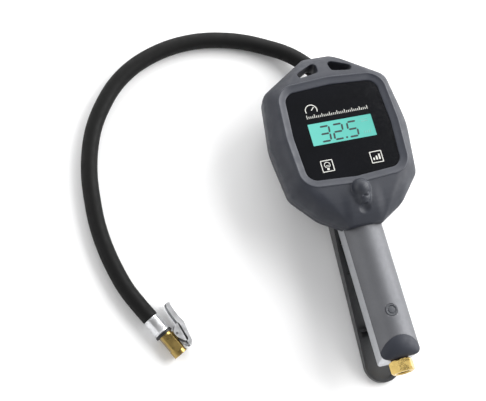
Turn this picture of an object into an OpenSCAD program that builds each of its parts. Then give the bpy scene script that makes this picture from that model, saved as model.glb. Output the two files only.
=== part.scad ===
// Hand-held tyre inflator with a digital gauge in a rubber boot, lying on its back, face up.
// Frame: +Z up, +Y towards the head's top, X across.  The origin is on the surface, under the
// middle of the inflator (hose left out).  Lengths are millimetres.

/* [Attitude] */
// Lean of the face and handle from the surface, set by the boot's back and the lever's tip
lean = 5.5; // [5:0.25:6]
// Height of the window's centre above the surface
face_h = 66; // [66:0.5:67]
// Distance of the window's centre from the origin along the surface
face_y = 66; // [65:0.5:67]

/* [Boot] */
// How far the bezel ridge stands out of the window's edge
bezel_w = 6.5; // [5:0.5:7]
// Height of the bezel ridge above the glass
ridge_h = 2.5; // [1.5:0.25:3]
// Depth of the arch that holds the hang slots
arch_depth = 20; // [18:1:22]
// Radius of the moulded vent dome
dome_r = 9; // [8:0.5:10]

/* [Display] */
// Width of the visible display
lcd_w = 58; // [54:1:60]
// Height of the visible display
lcd_h = 20.5; // [19:0.5:22]
// Side of a square key
key_w = 11.4; // [10:0.2:12]
// Distance of a key's centre from the middle of the window
key_x = 22.3; // [20:0.5:24]
// Travel of a key
key_travel = 0.4; // [0.3:0.1:0.5]

/* [Handle] */
// Half width of the handle
grip_r = 17.4; // [17:0.1:17.8]
// Lower end of the handle casting
grip_end = -198; // [-200:1:-196]
// Place of the cross-bored valve along the handle
valve_y = -160; // [-162:1:-158]
// Radius of the valve stem
stem_r = 4; // [3.5:0.1:4.2]

/* [Trigger lever] */
// Half width of the trigger lever
lever_hw = 16.5; // [16:0.1:17]
// Splay of the lever from the handle at rest
splay = 8.2; // [7.5:0.1:8.4]
// Length from the pivot pin to the spoon end
lever_len = 149; // [146:1:150]
// Radius of the pivot pin
pin_r = 2.5; // [2:0.1:3]

/* [Hose and connector] */
// Outer diameter of the hose
hose_d = 14.5; // [13.5:0.5:15]
// Heading of the outlet from the head's top, to the left
outlet_turn = 36; // [34:1:38]
// Depth of the outlet's axis below the glass
outlet_z = -45; // [-46:0.5:-44]
// Radius of the tyre valve bore
chuck_r = 4; // [3.9:0.05:4.1]
// Angle of the connector on the surface
chuck_turn = -62; // [-64:1:-60]

/* [Hidden] */
$fn = 48;
gap = 0.25;           // running gap between separate pieces
skin = 0.1;           // close gap between pieces that are fastened together
split_z = -24;        // plane where the two housings meet
grip_axis_z = -31;    // height of the handle's axis below the glass
front_arc_r = 20;     // radius of the handle's rounded front
front_arc_z = -33.5;  // centre of that arc
part_z = -23.6;       // parting line between the handle's cover and casting
rear_z = -49;         // back of the handle casting
pivot_y = -60;        // lever pivot
pivot_z = -54.5;
lever_back = -10;     // back of the lever below its pivot
pad_z = 4;            // height of the lever's push pad above its pivot line
pad_s = (pivot_y - valve_y) / cos(splay);
seat_z = -40;         // valve seat
outlet_low = -42;     // passage from the valve's outlet side
// Centre of the stem's domed end, just clear of the lever's pad.
stem_end_z = pivot_z + (valve_y - pivot_y) * tan(splay) + (pad_z + stem_r + 0.1) / cos(splay);
ferrule_end = [7, 78];            // mouth of the hose ferrule, seen from the front
ferrule_len = 18;
tail_hex = 9;
chuck_at = [-189.5, -51, 7.9];    // where the hose meets the connector

// Circles [x, y, radius] whose rounded envelope is an outline.  The left half mirrors the right.
window_rim = [[32.5, 31.5, 10], [4.3, 0, 40], [0, 3.6, 40], [32.5, -31.5, 10], [0, -3.6, 40]];
head_rim = [[9.5, 66, 10.8], [46, 41.5, 12], [22.8, 0, 40], [46, -42, 12], [17.6, -47.6, 30],
            [14.5, -81, 3]];
body_rim = [[20, 44, 11], [46, 41.5, 12], [22.8, 0, 40], [46, -42, 12], [17.6, -47.6, 30],
            [14.5, -81, 3]];
housing_rim = [[20, 42, 9.5], [45.5, 40, 9], [22.8, 0, 36.6], [45.5, -40, 9], [19, -44, 25]];
back_rim = [[26, 28, 16], [28, -22, 16], [14, -44, 12]];
housing_screw_at = [[46, 30], [-46, 30], [45.8, -33], [-45.8, -33]];
neck_screw_at = [[8.5, -34], [-8.5, 20]];
cell_x = [-7.6, 7.6];                    // the two cells, side by side under the neck
cell_z = 13.5;
cover_low = [-19, 22];                   // battery cover on the surface plane
cover_high = [19, 89];
cover_screw_at = [[0, 25.5], [0, 85.7]];

// Hose centre line: out of the ferrule, down to the surface, then round in one loose arc.
hose_route = [
    [14, 129.6, 14.8], [7, 139.3, 13.9], [-1, 149.5, 12.6], [-9, 158, 11], [-17, 164.5, 9.5],
    [-27, 170.5, 8.2], [-47, 180, 7.3], [-68, 186, 7.3], [-90, 189, 7.3], [-113, 188, 7.3],
    [-135, 183, 7.3], [-156, 174, 7.3], [-174, 161, 7.3], [-189, 144, 7.3],
    [-201, 125, 7.3], [-209, 104.5, 7.3], [-214, 83, 7.3], [-216, 62, 7.3],
    [-216.5, 40, 7.3], [-214.5, 19, 7.3], [-210.5, -1, 7.3], [-204.5, -21, 7.4],
    [-196.5, -38, 7.7], [-189.5, -51, 7.9]
];

function both(rim) = concat(rim, [for (c = rim) [-c[0], c[1], c[2]]]);
function edge_point(rim, a, grow) =
    let (u = [cos(a), sin(a)],
         reach = [for (c = rim) c[0] * u[0] + c[1] * u[1] + c[2]],
         c = rim[search(max(reach), reach)[0]])
    [c[0] + (c[2] + grow) * u[0], c[1] + (c[2] + grow) * u[1]];
function envelope(rim, grow) = [for (a = [3.75:7.5:357]) edge_point(both(rim), a, grow)];
// The place on the surface frame of a point given from the window's centre.
function leaned_at(p) = [p[0], face_y + p[1] * cos(lean) + p[2] * sin(lean),
                         face_h - p[1] * sin(lean) + p[2] * cos(lean)];
function face_ring(rim, grow, z) = [for (p = envelope(rim, grow)) leaned_at([p[0], p[1], z])];
function back_ring(grow, z) = [for (p = envelope(back_rim, grow)) [p[0], p[1] + face_y, z]];
// A ring between two others: t of the way in plan and u of the way in height.
function between(a, b, t, u) = [for (i = [0:len(a) - 1])
    [a[i][0] + t * (b[i][0] - a[i][0]), a[i][1] + t * (b[i][1] - a[i][1]),
     a[i][2] + u * (b[i][2] - a[i][2])]];
// Rounded fall from one ring to another, as plan and height fractions.
function shoulder(a, b) = [for (f = [[0.3, 0.12], [0.55, 0.3], [0.8, 0.58]]) between(a, b, f[0], f[1])];
function haunch(a, b) = [for (f = [[0.2, 0.27], [0.41, 0.52], [0.62, 0.74], [0.82, 0.9]])
    between(a, b, f[0], f[1])];

module leaned() translate([0, face_y, face_h]) rotate([-lean, 0, 0]) children();
module slab(z0, z1, rim, grow = 0)
    translate([0, 0, z0]) linear_extrude(z1 - z0) polygon(envelope(rim, grow));
// A closed form through rings of points, from the top ring to the bottom one.
module loft(rings) {
    n = len(rings[0]);
    last = len(rings) - 1;
    walls = [for (i = [0:last - 1]) for (k = [0:n - 1]) let (m = (k + 1) % n) each [
        [i * n + k, i * n + m, (i + 1) * n + m], [i * n + k, (i + 1) * n + m, (i + 1) * n + k]]];
    polyhedron([for (r = rings) each r], concat(walls,
        [[for (k = [n - 1:-1:0]) k]], [[for (k = [0:n - 1]) last * n + k]]));
}
module box(low, high) translate(low) cube(high - low);
// A 2D outline in x and depth, run along the handle from y0 up to y1.
module along(y0, y1) translate([0, y1, 0]) rotate([90, 0, 0]) linear_extrude(y1 - y0) children();
module rod_x(r, x0, x1) translate([x0, 0, 0]) rotate([0, 90, 0]) cylinder(r = r, h = x1 - x0);
module rod_y(r, y0, y1) translate([0, y1, 0]) rotate([90, 0, 0]) cylinder(r = r, h = y1 - y0);
module rod_z(r, z0, z1) translate([0, 0, z0]) cylinder(r = r, h = z1 - z0);
module hex_y(af, y0, y1)
    translate([0, y1, 0]) rotate([90, 0, 0]) cylinder(r = af / sqrt(3), h = y1 - y0, $fn = 6);

// ---- rubber boot -------------------------------------------------------------------------
module boot_form() {
    ridge = face_ring(window_rim, bezel_w, ridge_h);
    widest = face_ring(head_rim, 0, -13);
    rear_rim = face_ring(body_rim, -0.6, -26);
    back = back_ring(0, 0);
    loft(concat(
        [ridge], shoulder(ridge, widest), [widest],
        [face_ring(head_rim, -0.1, -arch_depth), face_ring(body_rim, -0.4, -arch_depth - 0.6), rear_rim],
        haunch(rear_rim, back), [back]));
}
module hang_slots() for (side = [-1, 1]) hull()
    for (c = [[8.7, 64, 3.2], [8.9, 59.4, 3], [21.8, 57.4, 3.2]])
        translate([side * c[0], c[1], -arch_depth - 5]) cylinder(r = c[2], h = 40, $fn = 24);
module dome() {
    translate([0, -55.5, -1.8]) sphere(r = dome_r);
    translate([0, -56, -12]) cylinder(r = dome_r, h = 10);
}
module housing_form(grow) {
    top = face_ring(window_rim, 5 + grow, grow - 2);
    widest = face_ring(housing_rim, grow, -13);
    rear_rim = face_ring(housing_rim, grow, -26);
    back = back_ring(grow - 2.5, 3.6 - grow);
    loft(concat([top], shoulder(top, widest), [widest, rear_rim], haunch(rear_rim, back), [back]));
}
module front_outline(r, hw) intersection() {
    translate([0, front_arc_z]) circle(r = r, $fn = 96);
    translate([-hw, part_z]) square([2 * hw, 12]);
}
module grip_outline(grow) {
    front_outline(front_arc_r + grow, grip_r + grow);
    polygon([
        [-grip_r - grow, part_z], [grip_r + grow, part_z],
        [15.2 + grow, -46], [12.5 + grow, rear_z - grow],
        [-12.5 - grow, rear_z - grow], [-15.2 - grow, -46]
    ]);
}
module rubber_boot() color([0.26, 0.28, 0.33]) difference() {
    union() {
        boot_form();
        leaned() dome();
    }
    housing_form(gap);
    leaned() slab(-3, ridge_h + 1, window_rim);
    leaned() slab(-2.5, skin, window_rim, 2.4);
    leaned() hang_slots();
    leaned() along(-100, -60) grip_outline(gap);
    leaned() box([-19, -100, -90], [19, -47, -47.1]);
    leaned() outlet_boss(10.5, 20);
    leaned() translate([0, -72, 0]) rotate([-20, 0, 0]) cylinder(r = 4, h = 12);
    box([cover_low[0] - 1, cover_low[1] - 1, -1], [cover_high[0] + 1, cover_high[1] + 1, 5]);
}

// ---- head: housings, display, electronics, cells -------------------------------------------
module at_screws(points) for (p = points) translate([p[0], p[1], 0]) children();
module at_outlet_flat()
    translate([ferrule_end[0], ferrule_end[1], outlet_z]) rotate([0, 0, outlet_turn]) children();
module outlet_boss(r, extra) at_outlet_flat() rod_y(r, -52, extra - ferrule_len - tail_hex);
module housing_shell() difference() {
    housing_form(0);
    housing_form(-2.4);
}
module front_housing() color([0.12, 0.12, 0.13]) difference() {
    union() {
        intersection() {
            housing_shell();
            leaned() box([-90, -100, split_z], [90, 100, 10]);
        }
        intersection() {
            housing_form(-1);
            leaned() {
                at_screws(housing_screw_at) rod_z(3.4, split_z + 0.3, -4);
                at_screws(neck_screw_at) rod_z(3.4, -20.9, -12);
                for (p = neck_screw_at) box([-70, p[1] - 3, -14], [70, p[1] + 3, -9.7]);
            }
        }
    }
    leaned() box([-lcd_w / 2 - 2.1, -lcd_h / 2 - 3.1, -10], [lcd_w / 2 + 2.1, lcd_h / 2 + 1.1, 5]);
    leaned() for (side = [-1, 1]) translate([side * key_x, -30, -10])
        translate([-key_w / 2 - 0.3, -key_w / 2 - 0.3, 0]) cube([key_w + 0.6, key_w + 0.6, 20]);
    leaned() along(-100, -50) grip_outline(0.5);
    leaned() at_screws(housing_screw_at) rod_z(1.5, -40, -12);
    leaned() at_screws(neck_screw_at) rod_z(1.75, -40, -12.5);
}
module rear_housing() color([0.14, 0.14, 0.15]) difference() {
    union() {
        intersection() {
            housing_shell();
            leaned() box([-90, -100, -90], [90, 100, split_z - skin]);
        }
        intersection() {
            housing_form(-1);
            leaned() at_screws(housing_screw_at) rod_z(4.4, -60, split_z - skin);
        }
        intersection() {
            housing_form(-1);
            box([cover_low[0] - 3, cover_low[1] - 3, 3], [cover_high[0] + 3, cover_high[1] + 3, 7.3]);
        }
    }
    leaned() along(-100, -50) grip_outline(0.5);
    leaned() box([-19, -100, -90], [19, -47, -30]);
    leaned() at_screws(housing_screw_at) {
        rod_z(1.7, -60, -20);
        rod_z(3.2, -70, -35);
    }
    leaned() outlet_boss(10.1, 20);
    box([cover_low[0], cover_low[1], -1], [cover_high[0], cover_high[1], 5.9]);
    box([-16.5, 29.3, 0], [16.5, 82.3, 10]);
    at_screws(cover_screw_at) rod_z(1, 0, 8);
}
module housing_screws() color([0.6, 0.6, 0.62]) leaned() at_screws(housing_screw_at) {
    rod_z(1.5, -35, -13);
    rod_z(2.9, -37.2, -35);
}
module window_lens() color([0.05, 0.05, 0.07]) leaned() difference() {
    slab(-1.9, 0, window_rim, 2.2);
    for (side = [-1, 1]) translate([side * key_x - key_w / 2 - 0.3, -30 - key_w / 2 - 0.3, -3])
        cube([key_w + 0.6, key_w + 0.6, 6]);
}
module lcd_panel() color([0.35, 0.8, 0.72]) leaned()
    box([-lcd_w / 2 - 2, -lcd_h / 2 - 3, -4.7], [lcd_w / 2 + 2, lcd_h / 2 + 1, -2]);
module backlight() color([0.8, 0.95, 0.9]) leaned()
    box([-lcd_w / 2 - 1, -lcd_h / 2 - 2, -7.9], [lcd_w / 2 + 1, lcd_h / 2, -4.75]);
module key_cap(side) leaned() translate([side * key_x, -30, 0]) {
    box([-key_w / 2, -key_w / 2, -5.2], [key_w / 2, key_w / 2, 0.2]);
    box([-key_w / 2 - 1, -key_w / 2 - 1, -5.8], [key_w / 2 + 1, key_w / 2 + 1, -4.7]);
}
module light_key() color([0.08, 0.08, 0.1]) key_cap(-1);
module units_key() color([0.08, 0.08, 0.1]) key_cap(1);
module key_switches() color([0.5, 0.5, 0.52]) leaned() for (side = [-1, 1])
    translate([side * key_x, -30, 0]) {
        box([-3, -3, -8], [3, 3, -6.9]);
        rod_z(1.6, -6.9, -5.85 - key_travel);
    }
module circuit_board() color([0.1, 0.4, 0.22]) leaned() difference() {
    box([-42, -39, -9.6], [42, 35, -8]);
    for (side = [-1, 1]) translate([side * 38, 31, 0]) rod_z(1.6, -12, -6);
}
module pressure_sensor() color([0.75, 0.75, 0.72]) leaned() {
    rod_z(6, -17.5, -9.65);
    rod_z(3, -20.9, -17.5);
}
module at_cells() for (x = cell_x) translate([x, 0, cell_z]) children();
module battery_holder() color([0.1, 0.1, 0.1]) difference() {
    box([-16.3, 28.6, 7.4], [16.3, 82.5, 13.5]);
    at_cells() rod_y(7.3, 29.8, 81.8);
    box([-13, 33, 0], [13, 78, 10]);
}
module batteries() color([0.75, 0.6, 0.25]) at_cells() {
    rod_y(7.2, 30, 80.4);
    rod_y(2.7, 80.4, 81.6);
}
module battery_cover() color([0.13, 0.13, 0.14]) difference() {
    box([cover_low[0] + 0.2, cover_low[1] + 0.2, 3.4], [cover_high[0] - 0.2, cover_high[1] - 0.2, 5.8]);
    at_screws(cover_screw_at) {
        rod_z(1.2, 0, 7);
        rod_z(2.1, 0, 4.4);
    }
    for (y = [46:4:66]) box([-9, y, 3], [9, y + 1.5, 3.9]);
}
module cover_screws() color([0.6, 0.6, 0.62]) at_screws(cover_screw_at) {
    rod_z(1, 4.4, 7.2);
    rod_z(1.9, 3.5, 4.4);
}

// ---- handle --------------------------------------------------------------------------------
module along_axis() translate([0, 0, grip_axis_z]) children();
module at_valve() translate([0, valve_y, 0]) children();
// The arched line where the nose meets the cover, and the rounded lower end of the handle.
module nose_arch(r) translate([0, -202, -40]) cylinder(r = r, h = 40, $fn = 96);
module end_round(shrink) intersection() {
    union() {
        translate([0, -186.5, -26]) rod_x(12.5 - shrink, -30, 30);
        box([-30, -186.5, -60], [30, -50, 0]);
        box([-30, grip_end - 1 + shrink, -60], [30, -50, -26]);
    }
    slab(-60, 0, [[8.4, grip_end + 8, 9], [8.4, -60, 9]], -shrink);
}
module casting_plan(r) {
    for (side = [-1, 1]) translate([side * (grip_r - r), grip_end + r]) circle(r = r);
    translate([-grip_r, grip_end + r]) square([2 * grip_r, 200]);
    translate([-grip_r + r, grip_end]) square([2 * (grip_r - r), 200]);
}
module handle_casting() color([0.66, 0.67, 0.69]) leaned() difference() {
    union() {
        difference() {
            intersection() {
                along(grip_end, -62) difference() {
                    grip_outline(0);
                    difference() {
                        translate([-30, part_z]) square([60, 20]);
                        translate([0, front_arc_z]) circle(r = front_arc_r - 2.3, $fn = 96);
                    }
                }
                translate([0, 0, -60]) linear_extrude(60) casting_plan(5);
            }
            difference() {
                box([-30, -210, part_z], [30, -182, 0]);
                end_round(2.4);
            }
        }
        box([-13, -64, -43], [13, 44, -21]);
        translate([0, 0, -50]) linear_extrude(14)
            polygon([[-13, 26], [41, 26], [41, 35], [36, 40], [-13, 40]]);
        outlet_boss(8.6, 0);
        box([-12.9, -67, -58.5], [12.9, -53, -40]);
    }
    along_axis() rod_y(6.5, grip_end - 1, grip_end + 13);
    along_axis() rod_y(4.6, grip_end, valve_y);
    translate([0, 0, outlet_low]) rod_y(2.2, valve_y, -74);
    translate([0, -76, 0]) rod_z(2.2, outlet_low, grip_axis_z);
    along_axis() rod_y(3.5, -78, 34);
    translate([0, 33, 0]) rod_z(3.5, outlet_z, grip_axis_z);
    translate([0, 33, outlet_z]) rod_x(3.5, 0, 37.5);
    outlet_boss(3.5, 1);
    at_outlet_flat() rod_y(4.9, -ferrule_len - tail_hex - 10, 0);
    rod_z(3, grip_axis_z, -20);
    at_valve() {
        rod_z(6, seat_z, -10);
        rod_z(5, seat_z - 4, seat_z + 1);
        rod_z(stem_r + 0.08, rear_z - 10, seat_z);
        rod_z(5.6, -47.3, -45.7);
    }
    translate([0, pivot_y, pivot_z]) rod_x(pin_r, -20, 20);
    at_screws(neck_screw_at) {
        rod_z(1.9, -60, -20);
        rod_z(3.6, -60, -40);
    }
}
module neck_screws() color([0.6, 0.6, 0.62]) leaned() at_screws(neck_screw_at) {
    rod_z(1.75, -40, -13);
    rod_z(3.3, -42.4, -40);
}
module handle_front_cover() color([0.62, 0.63, 0.66]) leaned() difference() {
    along(grip_end + 0.5, -72) intersection() {
        difference() {
            translate([0, front_arc_z]) circle(r = front_arc_r, $fn = 96);
            translate([0, front_arc_z]) circle(r = front_arc_r - 2.2, $fn = 96);
        }
        translate([-grip_r, part_z + 0.4]) square([2 * grip_r, 20]);
    }
    nose_arch(20.1);
    at_valve() rod_z(5.5, -30, 0);
}
module handle_nose() color([0.25, 0.27, 0.32]) leaned() difference() {
    intersection() {
        along(grip_end - 1, -180) front_outline(front_arc_r, grip_r);
        nose_arch(20);
        end_round(0);
        box([-30, -210, part_z + 0.4], [30, -170, 0]);
    }
    intersection() {
        along(grip_end + 1.5, -170) translate([0, front_arc_z]) circle(r = front_arc_r - 2.2, $fn = 96);
        end_round(2.3);
    }
}
module valve_plug() color([0.5, 0.51, 0.53]) leaned() at_valve() difference() {
    union() {
        rod_z(5.9, -20.5, -16.9);
        rod_z(5.3, -17, -13.9);
    }
    difference() {
        rod_z(3.6, -14.4, -13);
        rod_z(2.6, -15, -13);
    }
}
module coil(mean_r, wire_r, z0, z1, turns)
    for (k = [0:turns - 1]) translate([0, 0, z0 + wire_r + k * (z1 - z0 - 2 * wire_r) / (turns - 1)])
        rotate_extrude($fn = 32) translate([mean_r, 0]) circle(r = wire_r, $fn = 16);
module valve_spring() color([0.6, 0.6, 0.62]) leaned() at_valve()
    coil(4.2, 0.55, seat_z + 3.8, -20.6, 6);
module valve_stem() color([0.8, 0.68, 0.35]) leaned() at_valve() {
    rod_z(stem_r, stem_end_z, seat_z + 2);
    translate([0, 0, stem_end_z]) sphere(r = stem_r);
    rod_z(5.2, seat_z + 1.6, seat_z + 3.7);
}
module valve_seal() color([0.08, 0.08, 0.08]) leaned() at_valve() difference() {
    rod_z(5.6, seat_z + 0.1, seat_z + 1.6);
    rod_z(stem_r, seat_z - 1, seat_z + 3);
}
module stem_seal() color([0.08, 0.08, 0.08]) leaned() at_valve()
    translate([0, 0, -46.5]) rotate_extrude() translate([4.85, 0]) circle(r = 0.72, $fn = 16);

// ---- trigger lever ---------------------------------------------------------------------------
module at_lever() leaned() translate([0, pivot_y, pivot_z]) rotate([splay, 0, 0]) children();
module lever_plan(grow) {
    translate([-lever_hw - grow, -lever_len + lever_hw]) square([2 * (lever_hw + grow), lever_len - lever_hw + 4]);
    translate([0, -lever_len + lever_hw]) circle(r = lever_hw + grow, $fn = 64);
}
module lever_side() polygon([
    [7, lever_back], [7, 0], [4, 4.5], [-6, 5], [-30, 1.5], [-80, 0], [-110, -1],
    [-lever_len - 1, -5.5], [-lever_len - 1, lever_back]
]);
module across(w) rotate([90, 0, 90]) translate([0, 0, -w / 2]) linear_extrude(w) children();
module trigger_lever() color([0.19, 0.19, 0.2]) at_lever() difference() {
    union() {
        difference() {
            intersection() {
                translate([0, 0, -30]) linear_extrude(60) lever_plan(0);
                across(60) lever_side();
            }
            translate([0, 0, lever_back + 2.4]) linear_extrude(60) lever_plan(-3);
            box([-13.5, -12, lever_back + 2.4], [13.5, 20, 30]);
        }
        for (s = [22, 48]) box([-14, -s - 1, lever_back + 1], [14, -s + 1, -5]);
        box([-14, -pad_s - 1.2, lever_back + 1], [14, -pad_s + 1.2, 0]);
        translate([0, -pad_s, 0]) rod_z(6, lever_back + 1, pad_z);
    }
    rod_x(pin_r + 0.05, -20, 20);
}
module lever_pin() color([0.7, 0.7, 0.72]) leaned() translate([0, pivot_y, pivot_z])
    rod_x(pin_r, -lever_hw + 0.3, lever_hw - 0.3);

// ---- inlet -----------------------------------------------------------------------------------
module inlet_adaptor() color([0.83, 0.7, 0.36]) leaned() along_axis() difference() {
    union() {
        intersection() {
            hex_y(18.5, grip_end - 12.5, grip_end - 1.6);
            rod_y(10.2, grip_end - 12.5, grip_end - 1.6);
        }
        rod_y(6.5, grip_end - 2, grip_end + 12.8);
    }
    rod_y(5.72, grip_end - 13, grip_end - 1.5);
    rod_y(4.4, grip_end - 2, grip_end + 13);
}
module inlet_seal() color([0.7, 0.35, 0.2]) leaned() along_axis() difference() {
    rod_y(7.7, grip_end - 1.6, grip_end - 0.1);
    rod_y(6.6, grip_end - 2, grip_end + 1);
}
module inlet_filter() color([0.75, 0.65, 0.4]) leaned() along_axis() difference() {
    rod_y(4.3, grip_end + 1, grip_end + 12);
    rod_y(3.1, grip_end, grip_end + 10.5);
}

// ---- outlet, hose and connector -----------------------------------------------------------------
module at_outlet() leaned() at_outlet_flat() children();
module hose_tail() color([0.72, 0.72, 0.7]) at_outlet() difference() {
    union() {
        rod_y(4.9, -ferrule_len - tail_hex - 9, -ferrule_len);
        hex_y(17, -ferrule_len - tail_hex + 0.1, -ferrule_len - 0.1);
        rod_y(3.5, -ferrule_len - 1, -2);
        for (y = [-14:4:-5]) translate([0, y, 0]) rod_y(3.9, 0, 1.6);
    }
    rod_y(2.4, -60, 0);
}
module hose_ferrule() color([0.68, 0.68, 0.66]) at_outlet() difference() {
    union() {
        rod_y(8.6, -ferrule_len, 0);
        rod_y(8.9, -ferrule_len, -ferrule_len + 3);
    }
    rod_y(hose_d / 2 + 0.08, -13, 1);
    rod_y(4.2, -ferrule_len - 1, 0);
}
// A tube of round section swept along the route's own points.
module swept_tube(route, r, sides) {
    last = len(route) - 1;
    function along_at(i) = let (d = route[min(i + 1, last)] - route[max(i - 1, 0)]) d / norm(d);
    function ring(i) = let (t = along_at(i), side = cross(t, [0, 0, 1]) / norm(cross(t, [0, 0, 1])),
                            up = cross(side, t))
        [for (k = [0:sides - 1]) route[i] + r * (cos(360 * k / sides) * side + sin(360 * k / sides) * up)];
    points = [for (i = [0:last]) each ring(i)];
    walls = [for (i = [0:last - 1]) for (k = [0:sides - 1])
        let (n = (k + 1) % sides) each [
            [i * sides + k, i * sides + n, (i + 1) * sides + n],
            [i * sides + k, (i + 1) * sides + n, (i + 1) * sides + k]]];
    polyhedron(points, concat(walls,
        [[for (k = [sides - 1:-1:0]) k]], [[for (k = [0:sides - 1]) last * sides + k]]));
}
module hose() color([0.13, 0.13, 0.13]) swept_tube(hose_route, hose_d / 2, 12);

module at_chuck() translate(chuck_at) rotate([0, 0, chuck_turn]) children();
module connector_tail() color([0.78, 0.78, 0.8]) at_chuck() difference() {
    union() {
        rod_x(7.3, 0, 15.8);
        rod_x(3.5, -14, 0.5);
        for (x = [-12.5:4:-2]) rod_x(3.9, x, x + 1.6);
    }
    rod_x(2.4, -20, 20);
}
module connector_ring() color([0.08, 0.08, 0.08]) at_chuck() difference() {
    rod_x(7.85, 15.85, 18.3);
    rod_x(2.4, 10, 20);
}
module connector_body() color([0.78, 0.66, 0.34]) at_chuck() difference() {
    union() {
        rod_x(6.4, 18.35, 39.8);
        box([20.5, 0, -3.6], [28, 10.2, 3.6]);
    }
    rod_x(chuck_r, 28, 41);
    rod_x(4.9, 25, 28.01);
    rod_x(2.4, 10, 26);
    box([35, 0, -2.6], [38.6, 12, 2.6]);
    translate([24.2, 8.2, 0]) rod_z(1, -6, 6);
}
module connector_seal() color([0.1, 0.1, 0.1]) at_chuck() difference() {
    rod_x(4.8, 25.1, 27.9);
    rod_x(2.2, 20, 30);
}
module clip_plan() polygon([
    [-0.5, 20.8], [3.5, 19.6], [8, 19], [14, 18.8], [20, 19.3], [36.8, 14.2], [40, 10.8], [38.3, 9.6],
    [35.8, 10.3], [27, 12.2], [17, 14.2], [12, 14.6], [6, 15], [2, 15.9], [-1.8, 17.2]
]);
module clip_lever() color([0.82, 0.83, 0.85]) at_chuck() difference() {
    union() {
        difference() {
            translate([0, 0, -5.2]) linear_extrude(10.4) clip_plan();
            translate([0, -1.6, -4.0]) linear_extrude(8) intersection() {
                clip_plan();
                translate([-10, 0]) square([46, 30]);
            }
        }
        for (z = [-5.2, 4]) translate([0, 0, z]) linear_extrude(1.2)
            polygon([[17.9, 14.6], [17.2, 11.5], [21.6, 6.2], [27, 6.2], [33.5, 9.4], [34.5, 11.5]]);
        box([35.4, 4.3, -2.2], [37.8, 11.5, 2.2]);
    }
    translate([24.2, 8.2, 0]) rod_z(1.05, -6, 6);
}
module clip_pin() color([0.6, 0.6, 0.62]) at_chuck() translate([24.2, 8.2, 0]) rod_z(1, -5.6, 5.6);
module clip_spring() color([0.55, 0.55, 0.58]) at_chuck() {
    translate([19, 12.1, 0]) coil(1.3, 0.35, -3.4, 3.4, 8);
    translate([0, 13.1, 3]) rod_x(0.35, 13.6, 19.2);
}

rubber_boot();
front_housing();
rear_housing();
housing_screws();
window_lens();
lcd_panel();
backlight();
light_key();
units_key();
key_switches();
circuit_board();
pressure_sensor();
battery_holder();
batteries();
battery_cover();
cover_screws();
handle_casting();
neck_screws();
handle_front_cover();
handle_nose();
valve_plug();
valve_spring();
valve_stem();
valve_seal();
stem_seal();
trigger_lever();
lever_pin();
inlet_adaptor();
inlet_seal();
inlet_filter();
hose_tail();
hose_ferrule();
hose();
connector_tail();
connector_ring();
connector_body();
connector_seal();
clip_lever();
clip_pin();
clip_spring();
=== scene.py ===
"""Looks of the hand-held tyre inflator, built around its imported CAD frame."""
import math

import bmesh
import bpy
import numpy as np
from mathutils import Matrix, Vector


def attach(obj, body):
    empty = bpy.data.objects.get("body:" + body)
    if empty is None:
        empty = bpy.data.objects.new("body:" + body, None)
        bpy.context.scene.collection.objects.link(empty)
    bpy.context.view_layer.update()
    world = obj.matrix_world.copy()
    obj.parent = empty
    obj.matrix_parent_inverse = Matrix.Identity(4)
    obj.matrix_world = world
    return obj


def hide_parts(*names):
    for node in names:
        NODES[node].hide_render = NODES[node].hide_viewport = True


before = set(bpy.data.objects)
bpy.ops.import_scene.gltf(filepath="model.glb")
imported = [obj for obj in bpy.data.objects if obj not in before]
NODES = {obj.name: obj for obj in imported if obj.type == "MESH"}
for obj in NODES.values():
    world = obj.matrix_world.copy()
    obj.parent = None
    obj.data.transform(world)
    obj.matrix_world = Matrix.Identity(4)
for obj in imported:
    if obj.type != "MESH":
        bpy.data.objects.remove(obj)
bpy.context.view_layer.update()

MM = 0.001
LEAN = math.radians(5.5)

# ---- frames: each takes millimetres in its own axes to metres in the row frame ------------------
ROW = Matrix.Scale(MM, 4)
FACE = (Matrix.Translation((0, 0.066, 0.066)) @ Matrix.Rotation(-LEAN, 4, "X")
        @ Matrix.Scale(MM, 4))
OUTLET = FACE @ Matrix.Translation((7, 78, -45)) @ Matrix.Rotation(math.radians(36), 4, "Z")
CHUCK = (Matrix.Translation((-0.1895, -0.051, 0.0079)) @ Matrix.Rotation(math.radians(-62), 4, "Z")
         @ Matrix.Scale(MM, 4))
VALVE = FACE @ Matrix.Translation((0, -160, 0))

# ---- camera ------------------------------------------------------------------------------------
AIM = Vector((-101.45, -46.06, 0))      # on the glass plane, in the face frame
DISTANCE = 1050
AZIMUTH, ELEVATION, ROLL = (math.radians(a) for a in (-36, 67.2, 22.94))
back = Vector((math.sin(AZIMUTH) * math.cos(ELEVATION), -math.cos(AZIMUTH) * math.cos(ELEVATION),
               math.sin(ELEVATION)))
level = Vector((0, 0, 1)).cross(back).normalized()
upward = back.cross(level)
right = math.cos(ROLL) * level + math.sin(ROLL) * upward
above = -math.sin(ROLL) * level + math.cos(ROLL) * upward
turn = Matrix.Rotation(-LEAN, 3, "X")
axes = Matrix((turn @ right, turn @ above, turn @ back)).transposed().to_4x4()
camera_data = bpy.data.cameras.new("camera")
camera_data.sensor_width = 36
camera_data.lens = 93.7
camera_data.clip_end = 20
camera = bpy.data.objects.new("camera", camera_data)
camera.matrix_world = Matrix.Translation(FACE @ (AIM + back * DISTANCE)) @ axes
bpy.context.scene.collection.objects.link(camera)
bpy.context.scene.camera = camera

# ---- materials ---------------------------------------------------------------------------------


def srgb(r, g, b):
    """Linear colour of an 8-bit screen colour."""
    return tuple(c / 12.92 if c <= 0.04045 else ((c + 0.055) / 1.055) ** 2.4
                 for c in (r / 255, g / 255, b / 255))


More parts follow.
